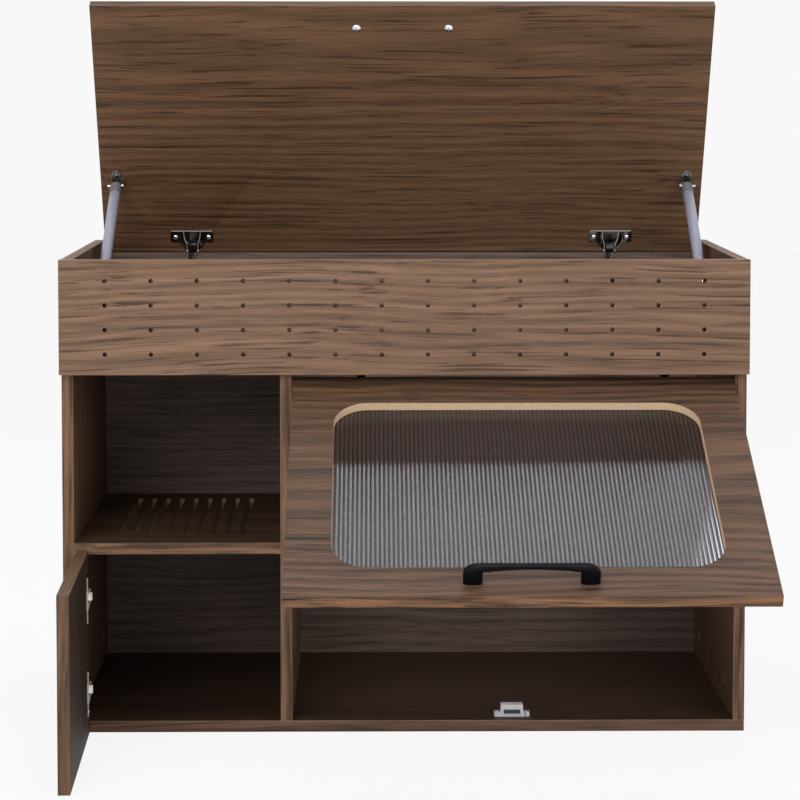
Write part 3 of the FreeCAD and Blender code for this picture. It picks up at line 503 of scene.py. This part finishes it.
def bow():
    """Rings from one foot to the other: ring s spans the bow's outer and inner outlines at s, and
    is a rounded square across, narrower towards the middle."""
    under = HANDLE_SHOULDER - HANDLE_BAR - 0.001
    outer = bow_outline(HANDLE_HALF, HANDLE_SHOULDER * 0.55, SHOULDER_FROM_MIDDLE, HANDLE_SHOULDER,
                        HANDLE_TOP)
    inner = bow_outline(HANDLE_INSIDE, under - THROAT, HANDLE_INSIDE - THROAT, under,
                        HANDLE_TOP - HANDLE_BAR)
    depth, width = around(28, HANDLE_SQUARE)
    waist = 1 - HANDLE_WAIST * np.clip(1 - (outer[:, 0] / HANDLE_INSIDE) ** 2, 0, 1) ** 0.5
    wide = width * HANDLE_HALF_WIDTH * waist[:, None]
    middle, half = (outer + inner) / 2, (outer - inner) / 2
    flat = middle[:, None] + half[:, None] * depth[None, :, None]
    return np.stack([flat[..., 0], wide, flat[..., 1]], -1)


black_coat = coat("black_powder_coat", HANDLE_BLACK, 0.42, mottle=0.25, grain=1500.0, dents=0.25,
                  Specular_IOR_Level=0.07)
for board_name, (middle, out) in HANDLES.items():
    to_board = np.array([(1, 0, 0), np.cross(out, (1, 0, 0)), out], float)
    formed(board_name + "_bow_handle", board_name, "black_metal", [board_name + "_handle"],
           black_coat, 60, swing(np.array(middle) + bow() @ to_board, board_name))


# ---- cup hinges --------------------------------------------------------------------------------
# Six concealed hinges of plated pressed steel. The lid's and the flap's are coloured darker than
# the door's, as painted shade. The cup is pressed into the swinging board, and pale strips on its
# two cheeks and lip are painted highlights. The arm turns on the cup's pin and is screwed to the
# carcass.
CUP_MIDDLE, CUP_RADIUS, CUP_WALL, CUP_RIM = 0.012, 0.0175, 0.0012, 0.0185
CUP_FLOOR, BOARD_FACE, FLANGE_TOP = -0.0029, 0.0110, 0.0122         # heights over the pin
FLANGE_NEAR, FLANGE_FAR, FLANGE_HALF = 0.004, 0.016, 0.031
PIN_HALF, PIN_RADIUS = 0.0116, 0.0010
CHEEK_LINE = [(0.0262, 0.0122), (0.016, 0.0112), (0.006, 0.0082), (-0.0065, 0.0072)]
CHEEK_TOP, CHEEK_HALF, CHEEK_HALF_HEIGHT = 0.0125, 0.0005, 0.0010
KNUCKLE, KNUCKLE_NEAR, KNUCKLE_FAR, KNUCKLE_RADIUS = (-0.0060, 0.0124), 0.006, 0.0092, 0.0013
LIP, LIP_LENGTH, LIP_HALF, LIP_HALF_HEIGHT = (0.0275, 0.0122), 0.0596, 0.0005, 0.0008
HINGES = {      # places along the hinge line, and the directions inwards, out of the face and along
    "lid": ({"left": -0.305, "right": 0.305}, [(0, -1, 0), (0, 0, -1), (1, 0, 0)]),
    "flap": ({"left": -0.05725, "right": 0.34275}, [(0, 0, -1), (0, 1, 0), (1, 0, 0)]),
    "door": ({"lower": 0.061, "upper": 0.184}, [(1, 0, 0), (0, 1, 0), (0, 0, 1)]),
}


def pressing():
    """Rings about the cup's axis: floor, wall, flange and rolled rim, each a radius that depends on
    the angle. The flange's radius is the larger of a circle's and a rounded oblong's."""
    c, s = around(160)
    reach = np.where(c > 0, FLANGE_FAR, FLANGE_NEAR)
    oblong = ((np.abs(c) / reach) ** 12 + (np.abs(s) / FLANGE_HALF) ** 12) ** (-1 / 12)
    flange = (oblong ** 16 + CUP_RIM ** 16) ** (1 / 16)
    bore = CUP_RADIUS - CUP_WALL
    levels = [(0.0, CUP_FLOOR), (CUP_RADIUS - 0.001, CUP_FLOOR), (CUP_RADIUS, CUP_FLOOR + 0.001),
              (CUP_RADIUS, BOARD_FACE), (flange - 0.0003, BOARD_FACE),
              (flange, BOARD_FACE + 0.0004), (flange - 0.0001, FLANGE_TOP - 0.0003),
              (flange - 0.0006, FLANGE_TOP), (CUP_RADIUS - 0.0002, FLANGE_TOP),
              (bore, FLANGE_TOP - 0.0006), (bore, CUP_FLOOR + 0.0022),
              (bore - 0.0015, CUP_FLOOR + 0.0007), (0.0, CUP_FLOOR + 0.0007)]
    return np.stack([np.stack([CUP_MIDDLE + r * c, np.full_like(c, y), r * s], -1)
                     for r, y in levels])


def strip(middles, half_width, half_height, sides):
    """Rounded bar carried through the middles: ring i is a rounded oblong about middle i, spanned
    by the sideways direction and the board's normal."""
    c, s = around(12, 0.4, np.pi / 12)
    ring = half_width * c[:, None] * np.array(sides) + half_height * s[:, None] * (0, 1, 0)
    return np.array(middles, float)[:, None] + ring


def peg(place, start, end, radius):
    """Short round pin along z with rounded ends: each ring's radius follows a quarter circle."""
    c, s = around(20)
    lean = np.linspace(0, np.pi / 2, 5)
    drop = radius * 0.6 * (1 - np.cos(lean))
    r = np.concatenate([np.sin(lean), np.sin(lean)[::-1]])[:, None] * radius
    z = np.concatenate([start + drop, end - drop[::-1]])[:, None]
    return np.stack([place[0] + r * c, place[1] + r * s, np.broadcast_to(z, (len(z), len(c)))], -1)


def eased_copy(node, body, material, width=0.0002):
    """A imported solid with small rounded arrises."""
    ease(shown(node + "_piece", merged(node, material), body, [node]), width)


nickel = coat("nickel_plate", (0.46, 0.44, 0.41), 0.16, metallic=1.0, mottle=0.10, grain=700.0,
              dents=0.10)
# Painted shade: the lid's and the flap's hinge cups, darker than the door's nickel.
shaded_nickel = coat("shaded_nickel", (0.15, 0.14, 0.125), 0.24, metallic=1.0, mottle=0.25,
                   grain=700.0, dents=0.10)
# Darker steel: the lid's and flap's hinge arms as painted shade; also the strut brackets, screws.
dark_steel_and_shade = coat("dark_plated_steel_and_shade", (0.11, 0.105, 0.10), 0.26, metallic=1.0, mottle=0.25,
                  grain=700.0, dents=0.12)
# Painted highlight: pale strips along the hinge cups' cheeks and lip.
painted_highlight_edge = coat("painted_highlight_edge", (0.60, 0.58, 0.53), 0.34, metallic=0.25, mottle=0.08,
                   grain=700.0, dents=0.10)
bright_arm = coat("bright_arm", (0.62, 0.59, 0.53), 0.30, metallic=1.0, mottle=0.12, grain=700.0,
                  dents=0.12)
cup_rings = [pressing(), peg((0, 0), -PIN_HALF, PIN_HALF, PIN_RADIUS)]
cheek_rings = []
for side in (-1, 1):
    line = [(inwards, CHEEK_TOP, side * away) for inwards, away in CHEEK_LINE]
    ends = sorted((side * KNUCKLE_NEAR, side * KNUCKLE_FAR))
    cheek_rings.append(strip(line, CHEEK_HALF, CHEEK_HALF_HEIGHT, (0, 0, 1)))
    cheek_rings.append(peg(KNUCKLE, *ends, KNUCKLE_RADIUS))
lip = [(*LIP, -LIP_LENGTH / 2), (*LIP, LIP_LENGTH / 2)]
cheek_rings.append(strip(lip, LIP_HALF, LIP_HALF_HEIGHT, (1, 0, 0)))
for board_name, (places, directions) in HINGES.items():
    # The lid's and the flap's hinges take the painted-shade plating.
    plate, arm = (nickel, bright_arm) if board_name == "door" else (shaded_nickel, dark_steel_and_shade)
    to_board = np.array(directions, float)
    for which, along in places.items():
        pin = np.array(PINS[board_name][0]) + along * to_board[2]
        cup = board_name + "_hinge_cup_" + which
        for name, nodes, material, rings in ((cup + "_pressing", [cup], plate, cup_rings),
                                             (cup + "_cheeks", [], painted_highlight_edge, cheek_rings)):
            placed = [swing(pin + ring @ to_board, board_name) for ring in rings]
            formed(name, board_name, "nickel", nodes, material, 40, *placed)
        eased_copy(board_name + "_hinge_arm_" + which, "carcass", arm)


# ---- painted shadow strip under the lid --------------------------------------------------------
# Black matt strip, 1.3 mm wide and 1.7 mm high, along the rear of the back panel's top edge. It is
# a painted shadow: it darkens the slit that is left under the open lid.
GAP_STRIP_WIDTH, GAP_STRIP_HEIGHT, GAP_STRIP_HALF = 0.0013, 0.0017, 0.434
BACK_TOP, REAR = 0.607, 0.200
# Painted shadow: near black where the slit under the lid would show the surround.
painted_gap_shadow = coat("black_gap_shadow", (0.010, 0.009, 0.009), 0.95, mottle=0.3, grain=2500.0, dents=0.8)
run = [(x, REAR - GAP_STRIP_WIDTH / 2, BACK_TOP + GAP_STRIP_HEIGHT / 2)
       for x in np.linspace(-GAP_STRIP_HALF, GAP_STRIP_HALF, 9)]
formed("lid_gap_shadow_strip", "carcass", None, [], painted_gap_shadow, 50,
       strip(run, GAP_STRIP_HEIGHT / 2, GAP_STRIP_WIDTH / 2, (0, 0, 1)))


# ---- gas struts --------------------------------------------------------------------------------
# Two lid stays: a painted steel tube with a ribbed plastic cap on the lid's stud, and a polished
# rod on a black plastic foot at the side panel. Every part is turned about the strut's own line.
STUD, FOOT = (0.410, 0.12134, 0.70717), (0.421, -0.050, 0.515)
LID_SEAT = (0.410, 0.0824, 0.610)               # under the closed lid
TUBE_RADIUS, TUBE_BORE, TUBE_START, TUBE_END = 0.0075, 0.0062, 0.014, 0.143
CAP_RADIUS, DOME_RISE = 0.0082, 0.62            # the dome's height is a share of its radius
RIB_DEPTH, RIB_PITCH = 0.00035, 0.0024
ROD_RADIUS, ROD_LENGTH = 0.003, 0.128
FOOT_RADIUS, FOOT_LENGTH = 0.005, 0.012
PLATE_HALF, PLATE_UP, PLATE_DOWN, PLATE_MIDDLE = 0.0068, 0.0130, 0.0134, 0.008


def turned(profile, start, end, count=48):
    """Solid of revolution: ring i has the profile's radius i and lies its distance i along the
    line from start to end."""
    start, end = np.array(start, float), np.array(end, float)
    line = (end - start) / np.linalg.norm(end - start)
    side = np.cross(line, (0.0, 1.0, 0.0))
    side /= np.linalg.norm(side)
    up = np.cross(line, side)
    c, s = around(count)
    circle = c[:, None] * side + s[:, None] * up
    radius, place = np.array(profile, float).T
    return start + radius[:, None, None] * circle + place[:, None, None] * line


def cap_profile():
    """Low dome past the stud, then ribs: the radius dips by a raised cosine of the distance."""
    lean = np.linspace(0, np.pi / 2, 9)
    dome = CAP_RADIUS * np.stack([np.sin(lean), -DOME_RISE * np.cos(lean)], -1)
    z = np.linspace(0.001, TUBE_START - 0.0006, 56)
    dip = RIB_DEPTH * (0.5 - 0.5 * np.cos(2 * np.pi * (z - 0.001) / RIB_PITCH))
    ribs = np.stack([CAP_RADIUS - dip, z], -1)
    return np.concatenate([dome, ribs, [[CAP_RADIUS - 0.0006, TUBE_START], [0.0, TUBE_START]]])


def tube_profile():
    """Outside of the tube with a rolled groove near its end, then its bore."""
    edge, floor = TUBE_RADIUS - 0.0004, TUBE_START + 0.0015
    return [(0.0, TUBE_START), (TUBE_RADIUS - 0.0003, TUBE_START),
            (TUBE_RADIUS, TUBE_START + 0.0004), (TUBE_RADIUS, TUBE_END - 0.0102),
            (edge, TUBE_END - 0.0096), (edge, TUBE_END - 0.0084), (TUBE_RADIUS, TUBE_END - 0.0078),
            (TUBE_RADIUS, TUBE_END - 0.0012), (edge, TUBE_END - 0.0004),
            (TUBE_RADIUS - 0.0012, TUBE_END), (TUBE_BORE, TUBE_END - 0.0004), (TUBE_BORE, floor),
            (0.0, floor)]


def rod_profile(length):
    """Plain rod into the foot, with a small chamfer inside the tube."""
    inside, foot = length - ROD_LENGTH, length - FOOT_LENGTH
    return [(0.0, inside), (ROD_RADIUS - 0.0004, inside), (ROD_RADIUS, inside + 0.0004),
            (ROD_RADIUS, foot), (0.0, foot)]


def foot_profile(length):
    """Collar with a groove, closed by half a ball over the foot's stud."""
    lean = np.linspace(0, np.pi / 2, 9)
    ball = np.stack([FOOT_RADIUS * np.cos(lean), length + FOOT_RADIUS * np.sin(lean)], -1)
    collar = [(0.0, length - FOOT_LENGTH), (0.0042, length - FOOT_LENGTH),
              (FOOT_RADIUS, length - 0.0112), (FOOT_RADIUS, length - 0.0070),
              (0.0046, length - 0.0064), (0.0046, length - 0.0056), (FOOT_RADIUS, length - 0.0050)]
    return np.concatenate([collar, ball])


def pear_rim():
    """Raised rim of the lid bracket's long plate: rings about its middle whose radius is a rounded
    oblong's and whose height rises to a bead and falls to the plate."""
    c, s = around(96)
    reach = np.where(s > 0, PLATE_UP, PLATE_DOWN)
    outline = ((np.abs(c) / PLATE_HALF) ** 2.3 + (np.abs(s) / reach) ** 2.3) ** (-1 / 2.3)
    levels = [(outline * 0, 0.0002), (outline - 0.0002, 0.0002), (outline, 0.0006),
              (outline - 0.0001, 0.0024), (outline - 0.0005, 0.0029), (outline - 0.0012, 0.0030),
              (outline - 0.0018, 0.0027), (outline - 0.0021, 0.0019), (outline * 0, 0.0019)]
    return np.stack([np.stack([r * c, PLATE_MIDDLE + r * s, np.full_like(c, z)], -1)
                     for r, z in levels])


strut_paint = coat("strut_paint", (0.36, 0.36, 0.45), 0.33, mottle=0.05, grain=1200.0, dents=0.08,
                   Coat_Weight=0.3)
grey_plastic = coat("grey_plastic", (0.15, 0.15, 0.17), 0.42, mottle=0.10, grain=1500.0, dents=0.2)
black_plastic = coat("black_plastic", (0.018, 0.018, 0.020), 0.40, mottle=0.2, grain=1500.0,
                     dents=0.2)
polished_rod = coat("polished_rod", (0.75, 0.75, 0.77), 0.10, metallic=1.0, mottle=0.04,
                    grain=900.0, dents=0.04)
for side, end in ((-1, "left"), (1, "right")):
    stud, foot, seat = (np.array(place) * (side, 1, 1) for place in (STUD, FOOT, LID_SEAT))
    length = math.dist(stud, foot)
    for part, body, profile, material, finish in (
            ("strut_cap_", "strut_tube_", cap_profile(), grey_plastic, "grey_plastic"),
            ("strut_tube_", "strut_tube_", tube_profile(), strut_paint, "strut_paint"),
            ("strut_rod_", "strut_rod_", rod_profile(length), polished_rod, "polished_rod"),
            ("strut_foot_", "strut_rod_", foot_profile(length), black_plastic, "black_plastic")):
        formed(part + end + "_turned", body + end, finish, [part + end], material, 40,
               turned(profile, stud, foot))
    eased_copy("strut_lid_bracket_" + end, "lid", nickel)
    formed("strut_lid_rim_" + end, "lid", "nickel", [], nickel, 40,
           swing(pear_rim() * (side, -1, -1) + seat, "lid"))
    eased_copy("strut_foot_bracket_" + end, "carcass", dark_steel_and_shade)


# ---- magnetic catch ----------------------------------------------------------------------------
# White moulded catch on the bottom panel with a magnet between two steel poles. A plated strike
# plate on the flap meets it.
white_plastic = coat("white_plastic", (0.74, 0.74, 0.75), 0.36, mottle=0.04, grain=1500.0,
                     dents=0.12)
eased_copy("catch_housing", "carcass", white_plastic, width=0.0004)
eased_copy("strike_plate", "flap", nickel)


# ---- pane clips --------------------------------------------------------------------------------
# Clear moulded plastic tongues, screwed to the flap's inner face all round its window. They hold
# the pane in its rebate.
clear_clip = coat("clear_clip", (0.82, 0.84, 0.85), 0.18, mottle=0.03, grain=1200.0, dents=0.1,
                  Transmission_Weight=0.85, IOR=1.35)
eased_copy("pane_clips", "flap", clear_clip, width=0.0003)


# ---- screws, cams and small steel parts --------------------------------------------------------
# Turned and pressed steel screws with domed heads, the larger ones zinc-plated, and cast zinc cams.
# They stay as they were packed, each with its own finish.
plated = coat("plated_screw", (0.66, 0.69, 0.76), 0.17, metallic=1.0, mottle=0.10, grain=900.0,
              dents=0.08)
cast_zinc = coat("cast_zinc", (0.50, 0.50, 0.51), 0.38, metallic=1.0, mottle=0.12, grain=1100.0,
                 dents=0.25)
magnet = coat("ferrite_magnet", (0.03, 0.03, 0.032), 0.60, mottle=0.2, grain=900.0, dents=0.4)
pole_steel = coat("pole_steel", (0.48, 0.48, 0.49), 0.28, metallic=1.0, mottle=0.1, grain=800.0,
                  dents=0.12)
AS_PACKED = [
    (plated, ["hinge_plate_screws", "strut_foot_screws", "catch_screws", "lid_handle_screws",
              "lid_hinge_cup_screws", "pane_clip_screws", "flap_handle_screws",
              "flap_hinge_cup_screws", "strike_screws", "door_hinge_cup_screws"]),
    (cast_zinc, ["cams", "cam_bolts"]),
    (dark_steel_and_shade, ["strut_lid_screws"]),
    (magnet, ["catch_magnet"]),
    (pole_steel, ["catch_poles"]),
    (black_plastic, ["strut_guide_left", "strut_guide_right"]),
]
for material, names in AS_PACKED:
    for node_name in names:
        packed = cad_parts[node_name]
        if not packed.material_slots:
            packed.data.materials.append(material)
        for holder in packed.material_slots:
            holder.material = material


# ---- floor, lamps and white surround -----------------------------------------------------------
# Wide white cloth under the cabinet in an even white surround, lit by two large soft lamps in front
# and one overhead. Floor and surround look whiter to the eye than the light they give.
FLOOR_HALF, FLOOR_CELLS = 9.0, 12
FLOOR_GLOW = 0.87                               # share of the floor that shines towards the eye
AMBIENT, BACKGROUND = 0.42, 0.94
LAMPS = {       # place, aim, size and power
    "key_lamp": ((-1.5, -3.2, 2.3), (0.0, 0.0, 0.45), 2.2, 62.0),
    "fill_lamp": ((2.2, -3.0, 1.3), (0.0, 0.0, 0.35), 2.0, 30.0),
    "top_lamp": ((0.2, 0.3, 3.6), (0.0, 0.0, 0.3), 2.6, 42.0),
}


def looked_at(node):
    """1 for camera, glossy and transmission rays and 0 for the rest: the largest of three flags."""
    path = node("LightPath").outputs
    seen = path["Is Camera Ray"]
    for ray in ("Is Glossy Ray", "Is Transmission Ray"):
        seen = node("Math", {0: seen, 1: path[ray]}, operation="MAXIMUM").outputs[0]
    return seen


floor_material, node = shader("white_floor")
share = node("Math", {0: looked_at(node), 1: FLOOR_GLOW}, operation="MULTIPLY").outputs[0]
cloth = node("BsdfDiffuse", {"Color": (0.88, 0.88, 0.88, 1.0)}).outputs[0]
glow = node("Emission", {"Color": (1.0, 1.0, 1.0, 1.0), "Strength": 1.0}).outputs[0]
node("OutputMaterial", {0: node("MixShader", {0: share, 1: cloth, 2: glow}).outputs[0]})
steps = np.linspace(-FLOOR_HALF, FLOOR_HALF, FLOOR_CELLS + 1)
x, y = np.meshgrid(steps, steps, indexing="ij")
grid = np.stack([x, y, np.zeros_like(x)], -1).reshape(-1, 3)
index = np.arange(len(grid)).reshape(x.shape)
cells = np.stack([index[:-1, :-1], index[1:, :-1], index[1:, 1:], index[:-1, 1:]], -1)
floor_mesh = bpy.data.meshes.new("floor")
floor_mesh.from_pydata(grid.tolist(), [], cells.reshape(-1, 4).tolist())
floor_mesh.materials.append(floor_material)
floor = bpy.data.objects.new("floor", floor_mesh)
scene.collection.objects.link(floor)

world = bpy.data.worlds.new("surround")
world.use_nodes = True
node = nodes_of(world.node_tree)
strength = node("MapRange", {0: looked_at(node), "To Min": AMBIENT, "To Max": BACKGROUND})
sky = node("Background", {"Color": (1.0, 1.0, 1.0, 1.0), "Strength": strength.outputs[0]})
node("OutputWorld", {0: sky.outputs[0]})
scene.world = world

for name, (place, aim, size, power) in LAMPS.items():
    lamp = bpy.data.lights.new(name, "AREA")
    lamp.size = size
    lamp.energy = power
    holder = bpy.data.objects.new(name, lamp)
    holder.location = place
    holder.rotation_euler = (Vector(aim) - Vector(place)).to_track_quat("-Z", "Y").to_euler()
    scene.collection.objects.link(holder)
